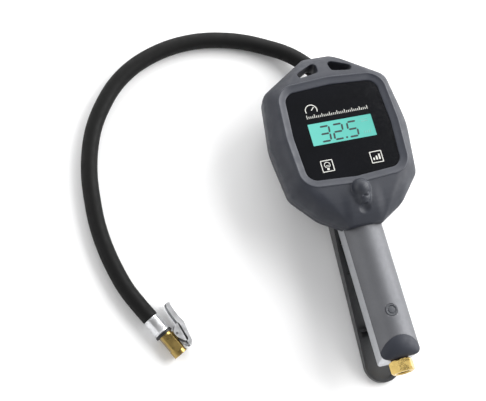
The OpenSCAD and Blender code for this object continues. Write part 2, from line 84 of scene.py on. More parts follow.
class Shade:
    """A procedural material: a Principled surface with noise in its colour, roughness and bump."""

    def __init__(self, name, colour, rough, metallic=0.0, **sockets):
        self.mat = bpy.data.materials.new(name)
        self.mat.use_nodes = True
        self.tree = self.mat.node_tree
        self.bsdf = self.tree.nodes["Principled BSDF"]
        self.bsdf.inputs["Base Color"].default_value = (*colour, 1)
        self.bsdf.inputs["Roughness"].default_value = rough
        self.bsdf.inputs["Metallic"].default_value = metallic
        for key, value in sockets.items():
            self.bsdf.inputs[key.replace("_", " ")].default_value = value
        self.colour, self.rough = colour, rough
        self.coords = self.tree.nodes.new("ShaderNodeTexCoord").outputs["Object"]
        self.last_normal = None

    def node(self, kind, **values):
        n = self.tree.nodes.new(kind)
        for key, value in values.items():
            if hasattr(n, key):
                setattr(n, key, value)
            else:
                n.inputs[key.replace("_", " ")].default_value = value
        return n

    def link(self, a, b):
        self.tree.links.new(a, b)

    def noise(self, scale, detail=2.0):
        n = self.node("ShaderNodeTexNoise", Scale=scale, Detail=detail)
        self.link(self.coords, n.inputs["Vector"])
        return n.outputs["Fac"]

    def ramp(self, source, low, high, start=0.35, end=0.65):
        r = self.tree.nodes.new("ShaderNodeMapRange")
        self.link(source, r.inputs["Value"])
        for key, value in (("From Min", start), ("From Max", end), ("To Min", low), ("To Max", high)):
            r.inputs[key].default_value = value
        return r.outputs["Result"]

    def tint(self, source, other, low=0.0, high=1.0, start=0.35, end=0.65):
        """Mixes another colour into the base where the source is high."""
        m = self.tree.nodes.new("ShaderNodeMix")
        m.data_type = "RGBA"
        base = self.bsdf.inputs["Base Color"]
        m.inputs[6].default_value = (*self.colour, 1)
        if base.is_linked:
            self.link(base.links[0].from_socket, m.inputs[6])
        m.inputs[7].default_value = (*other, 1)
        self.link(self.ramp(source, low, high, start, end), m.inputs["Factor"])
        self.link(m.outputs[2], base)
        return self

    def roughen(self, source, low, high):
        self.link(self.ramp(source, low, high), self.bsdf.inputs["Roughness"])
        return self

    def bump(self, source, strength, distance):
        b = self.node("ShaderNodeBump", Strength=strength, Distance=distance)
        self.link(source, b.inputs["Height"])
        if self.last_normal is not None:
            self.link(self.last_normal, b.inputs["Normal"])
        self.last_normal = b.outputs["Normal"]
        self.link(self.last_normal, self.bsdf.inputs["Normal"])
        return self

    def edges(self, colour, start=0.52, end=0.6, high=0.6):
        """Lighter on convex edges: partly rubbed wear, partly a painted edge highlight."""
        g = self.tree.nodes.new("ShaderNodeNewGeometry")
        return self.tint(g.outputs["Pointiness"], colour, 0, high, start, end)


def moulded(name, colour, rough, grain=2600, depth=0.12, edge_wear_and_highlight=1.25, spec=0.45):
    s = Shade(name, colour, rough, Specular_IOR_Level=spec)
    s.tint(s.noise(45, 3), tuple(c * 0.86 for c in colour), 0, 0.7)
    s.tint(s.noise(900, 2), tuple(c * 1.12 for c in colour), 0, 0.5)
    # lighter convex edges: partly wear, partly a painted edge highlight
    s.edges(tuple(min(1, c * edge_wear_and_highlight) for c in colour))
    s.roughen(s.noise(160, 3), rough - 0.06, rough + 0.07)
    return s.bump(s.noise(grain, 2), depth, 0.00012).bump(s.noise(260, 2), depth * 0.5, 0.0002).mat


def metal(name, colour, rough, grain=900, depth=0.05, dull=0.8, edge_wear_and_highlight=1.15):
    s = Shade(name, colour, rough, 1.0)
    s.tint(s.noise(120, 4), tuple(c * dull for c in colour), 0, 0.8)
    # lighter convex edges: partly wear, partly a painted edge highlight
    s.edges(tuple(min(1, c * edge_wear_and_highlight) for c in colour))
    s.roughen(s.noise(grain * 0.3, 3), max(0.03, rough - 0.06), rough + 0.08)
    return s.bump(s.noise(grain, 3), depth, 0.0001).mat


def silver_paint():
    s = Shade("silver_paint", srgb(85, 86, 90), 0.52, 0.3, Coat_Weight=0.05, Coat_Roughness=0.4)
    s.tint(s.noise(60, 3), srgb(79, 80, 84), 0, 0.8)
    s.tint(s.noise(5200, 1), srgb(99, 100, 104), 0, 0.5)
    # lighter convex edges: partly wear, partly a painted edge highlight
    s.edges(srgb(124, 125, 129))
    s.roughen(s.noise(300, 3), 0.46, 0.56)
    return s.bump(s.noise(5200, 1), 0.10, 0.00005).mat


MATERIALS = {
    "boot": moulded("boot_rubber", srgb(35, 38, 47), 0.53, edge_wear_and_highlight=1.3),
    # the bezel band is the boot's rubber painted lighter: painted light, for a flat band that faces up
    "bezel": moulded("bezel_rubber_painted_lighter", srgb(41, 44, 53), 0.47, edge_wear_and_highlight=1.35),
    "housing": moulded("housing_plastic", srgb(34, 34, 37), 0.5),
    "nose": moulded("nose_plastic", srgb(38, 41, 50), 0.62, edge_wear_and_highlight=1.1, spec=0.35),
    "plug": moulded("plug_plastic", srgb(62, 64, 69), 0.42, edge_wear_and_highlight=1.3),
    "lever": moulded("lever_plastic", srgb(40, 41, 43), 0.36, edge_wear_and_highlight=1.5, spec=0.55),
    "rubber": moulded("seal_rubber", srgb(24, 24, 25), 0.45),
    "hose": moulded("hose_rubber", srgb(12, 12, 12), 0.6, grain=1500, depth=0.15, spec=0.18),
    "fibre": moulded("fibre_washer", srgb(58, 40, 34), 0.7),
    "board": moulded("board_resist", srgb(24, 84, 50), 0.3),
    "cell": moulded("cell_wrap", srgb(50, 54, 62), 0.25),
    "diffuser": moulded("diffuser", srgb(225, 240, 236), 0.3),
    "brass": metal("brass", srgb(208, 180, 110), 0.24, 700, 0.05),
    "brass_dark": metal("brass_body", srgb(168, 144, 88), 0.3, 700, 0.05),
    "zinc": metal("zinc_plate", srgb(190, 190, 186), 0.3),
    "nickel": metal("satin_nickel", srgb(222, 223, 225), 0.36, 800, 0.03, dull=0.92),
    "steel": metal("plated_steel", srgb(185, 186, 190), 0.28),
    "casting": metal("satin_casting", srgb(186, 188, 192), 0.42, 1400, 0.12),
    "paint": silver_paint(),
}


def window_material():
    s = Shade("window_black", srgb(9, 10, 13), 0.08, Specular_IOR_Level=0.3)
    s.tint(s.noise(30, 2), srgb(12, 13, 17), 0, 1)
    s.roughen(s.noise(500, 3), 0.06, 0.12)
    return s.mat


def display_material():
    s = Shade("display_teal", srgb(20, 62, 56), 0.35)
    split = s.node("ShaderNodeSeparateXYZ")
    s.link(s.coords, split.inputs["Vector"])
    ramp = s.tree.nodes.new("ShaderNodeValToRGB")
    ramp.color_ramp.elements[0].color = (*srgb(112, 224, 210), 1)
    ramp.color_ramp.elements[1].color = (*srgb(78, 200, 186), 1)
    across = s.ramp(split.outputs["X"], 0, 1, -0.03, 0.03)
    s.link(across, ramp.inputs["Fac"])
    s.tint(s.noise(60, 2), srgb(30, 90, 82), 0, 0.3)
    s.link(ramp.outputs["Color"], s.bsdf.inputs["Emission Color"])
    s.bsdf.inputs["Emission Strength"].default_value = 0.78
    s.roughen(s.noise(400, 2), 0.3, 0.4)
    return s.mat


def print_material(name, colour):
    s = Shade(name, colour, 0.4)
    s.tint(s.noise(700, 2), tuple(c * 0.8 for c in colour), 0, 0.7)
    return s.mat


MATERIALS["window"] = window_material()
MATERIALS["display"] = display_material()
MATERIALS["digits"] = print_material("display_digits", srgb(12, 26, 30))
MATERIALS["marks"] = print_material("display_marks", srgb(92, 160, 150))
MATERIALS["print"] = print_material("white_print", srgb(196, 196, 190))

# ---- mesh helpers ------------------------------------------------------------------------------


def sharpen(mesh, angle=32):
    mesh.polygons.foreach_set("use_smooth", [True] * len(mesh.polygons))
    mesh.set_sharp_from_angle(angle=math.radians(angle))


def as_object(name, verts, faces, place, angle=32):
    mesh = bpy.data.meshes.new(name)
    mesh.from_pydata([tuple(v) for v in verts], [], [tuple(f) for f in faces])
    mesh.transform(place)
    bm = bmesh.new()
    bm.from_mesh(mesh)
    bmesh.ops.remove_doubles(bm, verts=bm.verts, dist=1e-7)
    bmesh.ops.recalc_face_normals(bm, faces=bm.faces)
    bm.to_mesh(mesh)
    bm.free()
    sharpen(mesh, angle)
    o = bpy.data.objects.new(name, mesh)
    bpy.context.scene.collection.objects.link(o)
    return o


def graph():
    bpy.context.view_layer.update()
    return bpy.context.evaluated_depsgraph_get()


def bake_modifiers(o, angle=32):
    """Applies the object's modifiers to its mesh."""
    mesh = bpy.data.meshes.new_from_object(o.evaluated_get(graph()))
    o.modifiers.clear()
    o.data = mesh
    sharpen(mesh, angle)
    return o


def bevel(o, width, segments=2, limit=35, angle=45):
    m = o.modifiers.new("bevel", "BEVEL")
    m.width, m.segments = width * MM, segments
    m.limit_method, m.angle_limit = "ANGLE", math.radians(limit)
    m.use_clamp_overlap = True
    bake_modifiers(o, angle)
    m = o.modifiers.new("even", "WEIGHTED_NORMAL")
    m.keep_sharp = True
    mesh = bpy.data.meshes.new_from_object(o.evaluated_get(graph()))
    o.modifiers.clear()
    o.data = mesh
    return o


def boolean(o, cutters, how="DIFFERENCE"):
    for c in cutters:
        m = o.modifiers.new("cut", "BOOLEAN")
        m.operation, m.solver, m.object = how, "MANIFOLD", c
    bake_modifiers(o)
    for c in cutters:
        bpy.data.objects.remove(c)
    return o


def remesh(o, voxel, passes=4, factor=0.5, keep=None, angle=180):
    m = o.modifiers.new("remesh", "REMESH")
    m.mode, m.voxel_size = "VOXEL", voxel * MM
    s = o.modifiers.new("smooth", "SMOOTH")
    s.factor, s.iterations = factor, passes
    if keep:
        d = o.modifiers.new("thin", "DECIMATE")
        d.ratio = keep
    return bake_modifiers(o, angle)


def lathe(name, profile, place, segments=64, closed=False, angle=32):
    """Turns a profile of (radius, height) about the local y axis."""
    verts, faces, n = [], [], len(profile)
    for r, h in profile:
        for k in range(segments):
            a = 2 * math.pi * k / segments
            verts.append((r * math.cos(a), h, r * math.sin(a)))
    for i in range(n if closed else n - 1):
        j = (i + 1) % n
        for k in range(segments):
            m = (k + 1) % segments
            faces.append((i * segments + k, j * segments + k, j * segments + m, i * segments + m))
    return as_object(name, verts, faces, place, angle)


def rounded(points, r=0.3, steps=3):
    """A closed profile with its corners rounded."""
    out = []
    for i, p in enumerate(points):
        a, b, c = (np.array(points[j % len(points)], float) for j in (i - 1, i, i + 1))
        u, v = a - b, c - b
        lu, lv = np.linalg.norm(u), np.linalg.norm(v)
        cut = min(r, lu * 0.45, lv * 0.45)
        s, e = b + u / lu * cut, b + v / lv * cut
        for k in range(steps + 1):
            t = k / steps
            out.append(tuple((1 - t) ** 2 * s + 2 * t * (1 - t) * b + t * t * e))
    return out


def prism(name, outline, z0, z1, place, edge=0.0, segments=2, angle=32):
    """An outline in the local x-y plane between two heights."""
    n = len(outline)
    verts = [(x, y, z) for z in (z0, z1) for x, y in outline]
    faces = [tuple(range(n))[::-1], tuple(range(n, 2 * n))]
    faces += [(k, (k + 1) % n, n + (k + 1) % n, n + k) for k in range(n)]
    o = as_object(name, verts, faces, place, angle)
    return bevel(o, edge, segments) if edge else o


def cad_copy(name, node, edge=0.0, segments=2, limit=35, angle=45):
    """A piece made from a CAD node's own mesh, with its edges rounded."""
    mesh = NODES[node].data.copy()
    mesh.materials.clear()
    mesh.name = name
    bm = bmesh.new()
    bm.from_mesh(mesh)
    bmesh.ops.remove_doubles(bm, verts=bm.verts, dist=2e-6)
    bmesh.ops.dissolve_limit(bm, angle_limit=math.radians(0.6), verts=bm.verts, edges=bm.edges)
    bmesh.ops.recalc_face_normals(bm, faces=bm.faces)
    bm.to_mesh(mesh)
    bm.free()
    o = bpy.data.objects.new(name, mesh)
    bpy.context.scene.collection.objects.link(o)
    sharpen(mesh, angle)
    return bevel(o, edge, segments, limit, angle) if edge else o


def wear(o, material, body, slot, *replaced):
    """Gives a piece its material and the body it moves with, and hides the CAD nodes it replaces; the slot
    argument is not used.
    """
    o.data.materials.clear()
    o.data.materials.append(MATERIALS[material])
    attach(o, body)
    if replaced:
        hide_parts(*replaced)
    return o


def join(name, parts, angle=32):
    """One object from several."""
    mesh = bpy.data.meshes.new(name)
    bm = bmesh.new()
    for p in parts:
        bm.from_mesh(p.data)
    bm.to_mesh(mesh)
    bm.free()
    for p in parts:
        bpy.data.objects.remove(p)
    sharpen(mesh, angle)
    o = bpy.data.objects.new(name, mesh)
    bpy.context.scene.collection.objects.link(o)
    return o


def arc(cx, cy, r, start, end, steps=12):
    return [(cx + r * math.cos(math.radians(start + (end - start) * k / steps)),
             cy + r * math.sin(math.radians(start + (end - start) * k / steps)))
            for k in range(steps + 1)]


def rounded_box(w, h, r, cx=0.0, cy=0.0, steps=6):
    x, y = w / 2 - r, h / 2 - r
    return [p for sx, sy, a in ((1, 1, 0), (-1, 1, 90), (-1, -1, 180), (1, -1, 270))
            for p in arc(cx + sx * x, cy + sy * y, r, a, a + 90, steps)]


# ---- hose --------------------------------------------------------------------------------------
ROUTE = np.array([
    [14, 129.6, 14.8], [7, 139.3, 13.9], [-1, 149.5, 12.6], [-9, 158, 11], [-17, 164.5, 9.5],
    [-27, 170.5, 8.2], [-47, 180, 7.3], [-68, 186, 7.3], [-90, 189, 7.3], [-113, 188, 7.3],
    [-135, 183, 7.3], [-156, 174, 7.3], [-174, 161, 7.3], [-189, 144, 7.3], [-201, 125, 7.3],
    [-209, 104.5, 7.3], [-214, 83, 7.3], [-216, 62, 7.3], [-216.5, 40, 7.3], [-214.5, 19, 7.3],
    [-210.5, -1, 7.3], [-204.5, -21, 7.4], [-196.5, -38, 7.7], [-189.5, -51, 7.9]])
HOSE_R = 7.25


def smooth_path(points, per=6):
    """Points on the Catmull-Rom curve through the given ones."""
    p = np.vstack([2 * points[0] - points[1], points, 2 * points[-1] - points[-2]])
    out = []
    for i in range(1, len(p) - 2):
        for k in range(per):
            t = k / per
            out.append(0.5 * (2 * p[i] + (p[i + 1] - p[i - 1]) * t
                              + (2 * p[i - 1] - 5 * p[i] + 4 * p[i + 1] - p[i + 2]) * t * t
                              + (3 * p[i] - p[i - 1] - 3 * p[i + 1] + p[i + 2]) * t ** 3))
    return np.array(out + [points[-1]])


def sweep(name, path, radius, place, sides=32, angle=40):
    """A round tube along a path, capped at both ends."""
    verts, faces = [], []
    n = len(path)
    side = None
    for i in range(n):
        t = path[min(i + 1, n - 1)] - path[max(i - 1, 0)]
        t = t / np.linalg.norm(t)
        if side is None:
            side = np.cross(t, [0, 0, 1.0] if abs(t[2]) < 0.9 else [1.0, 0, 0])
        side = side - t * side.dot(t)
        side = side / np.linalg.norm(side)
        up = np.cross(side, t)
        for k in range(sides):
            a = 2 * math.pi * k / sides
            verts.append(path[i] + radius * (math.cos(a) * side + math.sin(a) * up))
    for i in range(n - 1):
        for k in range(sides):
            m = (k + 1) % sides
            faces.append((i * sides + k, i * sides + m, (i + 1) * sides + m, (i + 1) * sides + k))
    faces += [tuple(range(sides))[::-1], tuple(range((n - 1) * sides, n * sides))]
    return as_object(name, verts, faces, place, angle)


hose_path = smooth_path(ROUTE)
hose = wear(sweep("hose_tube", hose_path, HOSE_R, ROW), "hose", "inflator", "hose_rubber", "hose")


# ---- boot --------------------------------------------------------------------------------------
WINDOW_RIM = [(32.5, 31.5, 10), (4.3, 0, 40), (0, 3.6, 40), (32.5, -31.5, 10), (0, -3.6, 40)]
HEAD_RIM = [(9.5, 66, 10.8), (46, 41.5, 12), (22.8, 0, 40), (46, -42, 12), (17.6, -47.6, 30),
            (14.5, -81, 3)]
BODY_RIM = [(20, 44, 11)] + HEAD_RIM[1:]
BACK_RIM = [(26, 28, 16), (28, -22, 16), (14, -44, 12)]
SAMPLES = np.radians(np.arange(1, 360, 2.0))


def envelope(rim, grow=0.0):
    circles = np.array(list(rim) + [(-x, y, r) for x, y, r in rim])
    u = np.stack([np.cos(SAMPLES), np.sin(SAMPLES)], 1)
    best = np.argmax(circles[:, :2] @ u.T + circles[:, 2:], axis=0)
    return circles[best, :2] + (circles[best, 2] + grow)[:, None] * u


def face_ring(rim, grow, z):
    p = envelope(rim, grow)
    return np.c_[p, np.full(len(p), float(z))]


def back_ring(grow=0.0, z=0.0):
    """A ring on a level plane of the row frame, given in the face frame."""
    p = envelope(BACK_RIM, grow)
    inverse = FACE.inverted()
    return np.array([inverse @ Vector((x * MM, (y + 66) * MM, z * MM)) for x, y in p])


def fill_gaps(rings, step=2.5):
    """Adds the same points to every ring, so that no stretch between two is long."""
    gaps = np.max([np.linalg.norm(np.roll(r, -1, 0) - r, axis=1) for r in rings], axis=0)
    counts = np.maximum(1, np.ceil(gaps / step).astype(int))
    filled = []
    for r in rings:
        nxt = np.roll(r, -1, 0)
        filled.append(np.vstack([[r[i] + (nxt[i] - r[i]) * k / counts[i] for k in range(counts[i])]
                                 for i in range(len(r))]))
    return filled


def lofted(name, rings, place, shape=None, closed=False):
    """A skin through rings of points: capped at both ends, or joined end to end."""
    rings = fill_gaps(rings)
    n = len(rings[0])
    verts = np.vstack(rings)
    if shape is not None:
        verts = shape(verts)
    faces = [(i * n + k, i * n + (k + 1) % n, (i + 1) * n + (k + 1) % n, (i + 1) * n + k)
             for i in range(len(rings) - 1) for k in range(n)]
    last = (len(rings) - 1) * n
    if closed:
        faces += [(last + k, last + (k + 1) % n, (k + 1) % n, k) for k in range(n)]
    else:
        faces += [tuple(range(n))[::-1], tuple(range(last, last + n))]
    return as_object(name, verts, faces, place)


def between(a, b, t, u):
    """A ring between two: t of the way in plan and u of the way in height."""
    return np.c_[a[:, :2] + t * (b[:, :2] - a[:, :2]), a[:, 2] + u * (b[:, 2] - a[:, 2])]


def step(v, low, high):
    t = np.clip((v - low) / (high - low), 0, 1)
    return t * t * (3 - 2 * t)


def neck_shape(v):
    """Raises a soft panel over the handle below the hood."""
    x, y, z = v[:, 0], v[:, 1], v[:, 2]
    low = step(-y, 50, 70) * step(z, -15, -11)
    panel = 1 - step(np.abs(x), 11, 19.5)
    out = v.copy()
    out[:, 2] += low * 1.1 * panel
    return out


shelf, widest = face_ring(WINDOW_RIM, 6.5, 2.1), face_ring(HEAD_RIM, 0, -13)
outer = [face_ring(WINDOW_RIM, 3, 0.9), shelf]
outer += [between(shelf, widest, t, u) for t, u in (
    (0.1, 0.035), (0.2, 0.075), (0.3, 0.122), (0.43, 0.2), (0.55, 0.295), (0.68, 0.425), (0.8, 0.58),
    (0.9, 0.75), (0.97, 0.89))]
rear_rim, back_edge = face_ring(BODY_RIM, -0.6, -26), back_ring()
outer += [widest, face_ring(HEAD_RIM, 0.05, -16), face_ring(HEAD_RIM, -0.1, -19.6),
          face_ring(BODY_RIM, -0.4, -20.6), rear_rim]
outer += [between(rear_rim, back_edge, t, u) for t, u in (
    (0.04, 0.055), (0.12, 0.165), (0.2, 0.27), (0.31, 0.4), (0.41, 0.52), (0.52, 0.635),
    (0.62, 0.735), (0.72, 0.825), (0.82, 0.9), (0.91, 0.96), (0.96, 0.988))]
outer.append(back_edge)
boot = lofted("boot", outer, FACE, neck_shape)


def housing_cavity(grow):
    top = face_ring(WINDOW_RIM, 5 + grow, grow - 2.6)
    rim = [(20, 42, 9.5), (45.5, 40, 9), (22.8, 0, 36.6), (45.5, -40, 9), (19, -44, 25)]
    widest_in, rear_in = face_ring(rim, grow, -14), face_ring(rim, grow, -26)
    back_in = back_ring(grow - 2.5, 3.6 - grow)
    rings = [top] + [between(top, widest_in, t, u) for t, u in ((0.3, 0.12), (0.55, 0.3), (0.8, 0.58))]
    rings += [widest_in, rear_in] + [between(rear_in, back_in, t, u) for t, u in (
        (0.2, 0.27), (0.41, 0.52), (0.62, 0.74), (0.82, 0.9))] + [back_in]
    return lofted("cavity", rings, FACE)


def ball(name, centre, radii, place=FACE, tilt=None):
    bm = bmesh.new()
    bmesh.ops.create_icosphere(bm, subdivisions=5, radius=1.0)
    m = Matrix.Translation(centre) @ (tilt or Matrix.Identity(4)) @ Matrix.Diagonal((*radii, 1))
    bmesh.ops.transform(bm, matrix=place @ m, verts=bm.verts)
    mesh = bpy.data.meshes.new(name)
    bm.to_mesh(mesh)
    bm.free()
    o = bpy.data.objects.new(name, mesh)
    bpy.context.scene.collection.objects.link(o)
    return o


def slot_outline(side, steps=10):
    """Rounded outline of a hang slot: the convex envelope of three circles."""
    circles = np.array([(8.7, 64, 3.2), (8.9, 59.4, 3.0), (21.8, 57.4, 3.0)])
    a = np.radians(np.arange(0, 360, 360 / (steps * 6)))
    u = np.stack([np.cos(a), np.sin(a)], 1)
    best = np.argmax(circles[:, :2] @ u.T + circles[:, 2:], axis=0)
    p = circles[best, :2] + circles[best, 2:] * u
    return [(side * x, y) for x, y in p]


boolean(boot, [ball("hood_shell", (0, -55.6, -1.2), (8.8, 8.8, 8.6)),
               ball("hood_tongue", (0.3, -61.6, -1.6), (7.2, 8.2, 7.4)),
               ball("hood_cap", (0, -55.0, 1.4), (8.0, 8.2, 8.2))], "UNION")
cutters = [
    housing_cavity(0.25),
    prism("cut_window", [tuple(p) for p in envelope(WINDOW_RIM, 0.15)], -6, 6, FACE),
    prism("cut_slot_r", slot_outline(1), -30, 10, FACE),
    prism("cut_slot_l", slot_outline(-1), -30, 10, FACE),
    # the slit under the hood, and the hollow below it
    ball("cut_slit", (2.2, -63.2, 5.4), (4.6, 0.8, 2.4), FACE,
         Matrix.Rotation(math.radians(-20), 4, "X")),
    ball("cut_scoop", (0, -74.0, -0.2), (6.4, 5.6, 4.8)),
    prism("cut_lever", [(-19, -100), (19, -100), (19, -47), (-19, -47)], -90, -47.1, FACE),
    lathe("cut_outlet", [(0, -60), (10.5, -60), (10.5, 30), (0, 30)], OUTLET),
    prism("cut_cover", [(-20, 21), (20, 21), (20, 90), (-20, 90)], -4, 5, ROW),
]
boolean(boot, cutters)


def grip_section(grow, steps=24):
    """Outline of the handle in x and depth."""
    r = 20 + grow
    half = math.degrees(math.asin((17.4 + grow) / r))
    top = [(x, z - 33.5) for x, z in arc(0, 0, r, 90 - half, 90 + half, steps)]
    return top + [(-15.2 - grow, -46), (-12.5 - grow, -49 - grow), (12.5 + grow, -49 - grow),
                  (15.2 + grow, -46)]


ALONG = Matrix(((1, 0, 0, 0), (0, 0, -1, 0), (0, 1, 0, 0), (0, 0, 0, 1)))   # local z runs down -y
boolean(boot, [prism("cut_grip", grip_section(0.3), 58, 100, FACE @ ALONG)])
remesh(boot, 0.65, 5, 0.5, keep=0.4)
bezel_profile = [(0.12, -1.6), (0.12, 0.35), (0.25, 0.75), (0.6, 1.0), (1.6, 1.2), (3.2, 1.5),
                 (4.8, 1.9), (5.5, 2.2), (5.95, 2.47), (6.3, 2.55), (6.7, 2.5), (7.05, 2.3),
                 (7.35, 1.95), (7.5, 1.2), (7.5, -1.2)]
bezel = lofted("bezel", [face_ring(WINDOW_RIM, g, z) for g, z in bezel_profile], FACE, closed=True)
wear(boot, "boot", "inflator", "boot_rubber", "rubber_boot")
# the bezel's material is the boot's rubber painted lighter, as painted light
wear(bezel, "bezel", "inflator", "boot_rubber")

# ---- window, display and keys --------------------------------------------------------------------
LCD_W, LCD_H, KEY_X, KEY_Y, KEY_W = 58, 20.5, 22.3, -30, 11.4
window = prism("window", [tuple(p) for p in envelope(WINDOW_RIM, -0.1)], -1.9, 0, FACE)
boolean(window, [
    prism("cut", rounded_box(LCD_W, LCD_H, 0.5), -5, 5, FACE),
    prism("cut", rounded_box(KEY_W + 0.6, KEY_W + 0.6, 0.8, -KEY_X, KEY_Y), -5, 5, FACE),
    prism("cut", rounded_box(KEY_W + 0.6, KEY_W + 0.6, 0.8, KEY_X, KEY_Y), -5, 5, FACE)])
window.data.polygons.foreach_set("use_smooth", [False] * len(window.data.polygons))
wear(window, "window", "inflator", "window_black", "window_lens")
display = prism("display", rounded_box(LCD_W - 0.1, LCD_H - 0.1, 0.5), -2.6, -0.25, FACE, 0.1)
wear(display, "display", "inflator", "display_teal", "lcd_panel")


def stroke(points, width, z0, z1, place):
    """A flat line of mitred width through points."""
    p = np.array(points, float)
    left, rightward = [], []
    for i in range(len(p)):
        a = p[i] - p[i - 1] if i else p[1] - p[0]
        b = p[i + 1] - p[i] if i < len(p) - 1 else a
        a, b = a / np.linalg.norm(a), b / np.linalg.norm(b)
        t = (a + b) / np.linalg.norm(a + b)
        n = np.array([-t[1], t[0]]) * width / 2 / max(0.5, t.dot(a))
        left.append(tuple(p[i] + n))
        rightward.append(tuple(p[i] - n))
    return prism("stroke", rightward + left[::-1], z0, z1, place)


def frame_line(w, r, line, cx, cy, z0, z1):
    """A thin square outline."""
    outer_line = rounded_box(w, w, r, cx, cy)
    inner_line = rounded_box(w - 2 * line, w - 2 * line, max(0.1, r - line), cx, cy)
    n = len(outer_line)
    verts = [(x, y, z) for z in (z0, z1) for ring in (outer_line, inner_line) for x, y in ring]
    faces = []
    for k in range(n):
        m = (k + 1) % n
        faces += [(2 * n + k, 2 * n + m, 3 * n + m, 3 * n + k), (k, n + k, n + m, m),
                  (k, m, 2 * n + m, 2 * n + k), (n + k, 3 * n + k, 3 * n + m, n + m)]
    return as_object("frame_line", verts, faces, FACE)


def seven_segment(char, x, y, w, h, t, slant=0.08):
    """Bars of one digit, as tapered strokes."""
    lit = {"3": "abcdg", "2": "abdeg", "5": "acdfg"}[char]
    g = 0.45
    ends = {"a": ((g, h), (w - g, h)), "b": ((w, h - g), (w, h / 2 + g)),
            "c": ((w, h / 2 - g), (w, g)), "d": ((g, 0), (w - g, 0)), "e": ((0, h / 2 - g), (0, g)),
            "f": ((0, h - g), (0, h / 2 + g)), "g": ((g, h / 2), (w - g, h / 2))}
    parts = []
    for s in lit:
        (x0, y0), (x1, y1) = ends[s]
        d = np.array([x1 - x0, y1 - y0])
        d = d / np.linalg.norm(d)
        n = np.array([-d[1], d[0]]) * t / 2
        a, b = np.array([x0, y0]), np.array([x1, y1])
        ring = [a, a + d * t / 2 + n, b - d * t / 2 + n, b, b - d * t / 2 - n, a + d * t / 2 - n]
        parts.append(prism("bar", [(x + q[0] + slant * q[1], y + q[1]) for q in ring],
                           -0.27, -0.14, FACE))
    return parts


bars = []
for char, at in (("3", -20.5), ("2", -8.6), ("5", 4.6)):
    bars += seven_segment(char, at, -7.6, 8.4, 13.8, 1.6)
bars.append(prism("point", rounded_box(1.7, 1.7, 0.3, 2.2, -7.4), -0.27, -0.14, FACE))
wear(join("display_digits", bars), "digits", "inflator", "display_teal")
marks = [stroke([(18.6, y), (24.6, y)], 0.7, -0.26, -0.17, FACE) for y in (4.6, 6.4)]
marks += [stroke([(x, -7), (x, -4.4)], 0.8, -0.26, -0.17, FACE) for x in (18.8, 20.6, 22.4, 24.2)]
wear(join("display_marks", marks), "marks", "inflator", "display_teal")

# A generic dial scale printed above the display.
KEY_PRINT = (0.15, 0.26)      # from and to, as heights of the print on the keys
TOP = 0.03
scale_marks = [stroke([(x, 15.2), (x, 15.2 + (3.4 if i % 4 == 0 else 2.0))], 0.6, -0.05, TOP, FACE)
               for i, x in enumerate(np.linspace(-27.5, 27.5, 33))]
dial = [stroke(arc(-22, 22.6, 5.2, 200, -20, 18), 0.8, -0.05, TOP, FACE),
        stroke([(-22, 22.6), (-19.2, 25.4)], 0.8, -0.05, TOP, FACE)]
wear(join("window_print", scale_marks + dial), "print", "inflator", "window_black")

for key, side in (("light_key", -1), ("units_key", 1)):
    cx, cy = side * KEY_X, KEY_Y
    body = "left_key" if side < 0 else "right_key"
    cap = prism(key + "_cap", rounded_box(KEY_W, KEY_W, 0.7, cx, cy), -5.2, 0.2, FACE, 0.2, 3)
    wear(cap, "window", body, "key_black", key)
    lines = [frame_line(KEY_W - 0.5, 0.6, 0.75, cx, cy, *KEY_PRINT)]
    if side < 0:
        bulb = arc(cx, cy + 0.9, 2.5, -60, 240, 20)
        lines += [stroke(bulb, 0.6, *KEY_PRINT, FACE),
                  prism("base", rounded_box(2.1, 1.8, 0.3, cx, cy - 2.9), *KEY_PRINT, FACE),
                  stroke([(cx - 0.5, cy - 1.4), (cx - 0.9, cy + 0.6), (cx, cy),
                          (cx + 0.9, cy + 0.6), (cx + 0.5, cy - 1.4)], 0.35, *KEY_PRINT, FACE)]
    else:
        lines += [prism("block", rounded_box(1.5, h, 0.2, cx + dx, cy - 2.6 + h / 2), *KEY_PRINT, FACE)
                  for dx, h in ((-2.6, 2.2), (0, 3.6), (2.6, 5.0))]
    wear(join(key + "_print", lines), "print", body, "key_black")

# ---- handle --------------------------------------------------------------------------------------


def front_cover():
    """The handle's rounded front: an arc section along the handle, arched at the nose."""
    n_across, n_along = 48, 60
    half = math.asin(17.3 / 20)
    verts, faces = [], []
    for i in range(n_across + 1):
        a = -half + 2 * half * i / n_across
        x = 20 * math.sin(a)
        low = -202 + math.sqrt(20.2 ** 2 - x * x)
        for j in range(n_along + 1):
            y = low + (-72 - low) * j / n_along
            verts.append((x, y, -33.5 + 20 * math.cos(a)))
    for i in range(n_across):
        for j in range(n_along):
            k = i * (n_along + 1) + j
            faces.append((k, k + n_along + 1, k + n_along + 2, k + 1))
    o = as_object("front_cover", verts, faces, FACE)
    s = o.modifiers.new("thick", "SOLIDIFY")
    s.thickness, s.offset = 2.2 * MM, -1
    bake_modifiers(o)
    boolean(o, [lathe("cut", [(0, -30), (5.5, -30), (5.5, 5), (0, 5)],
                      VALVE @ Matrix.Rotation(math.radians(90), 4, "X"))])
    return bevel(o, 0.35, 3, 40)


wear(front_cover(), "paint", "inflator", "cover_silver", "handle_front_cover")
casting = cad_copy("casting", "handle_casting", 0.35, 2)
wear(casting, "casting", "inflator", "casting_silver", "handle_casting")


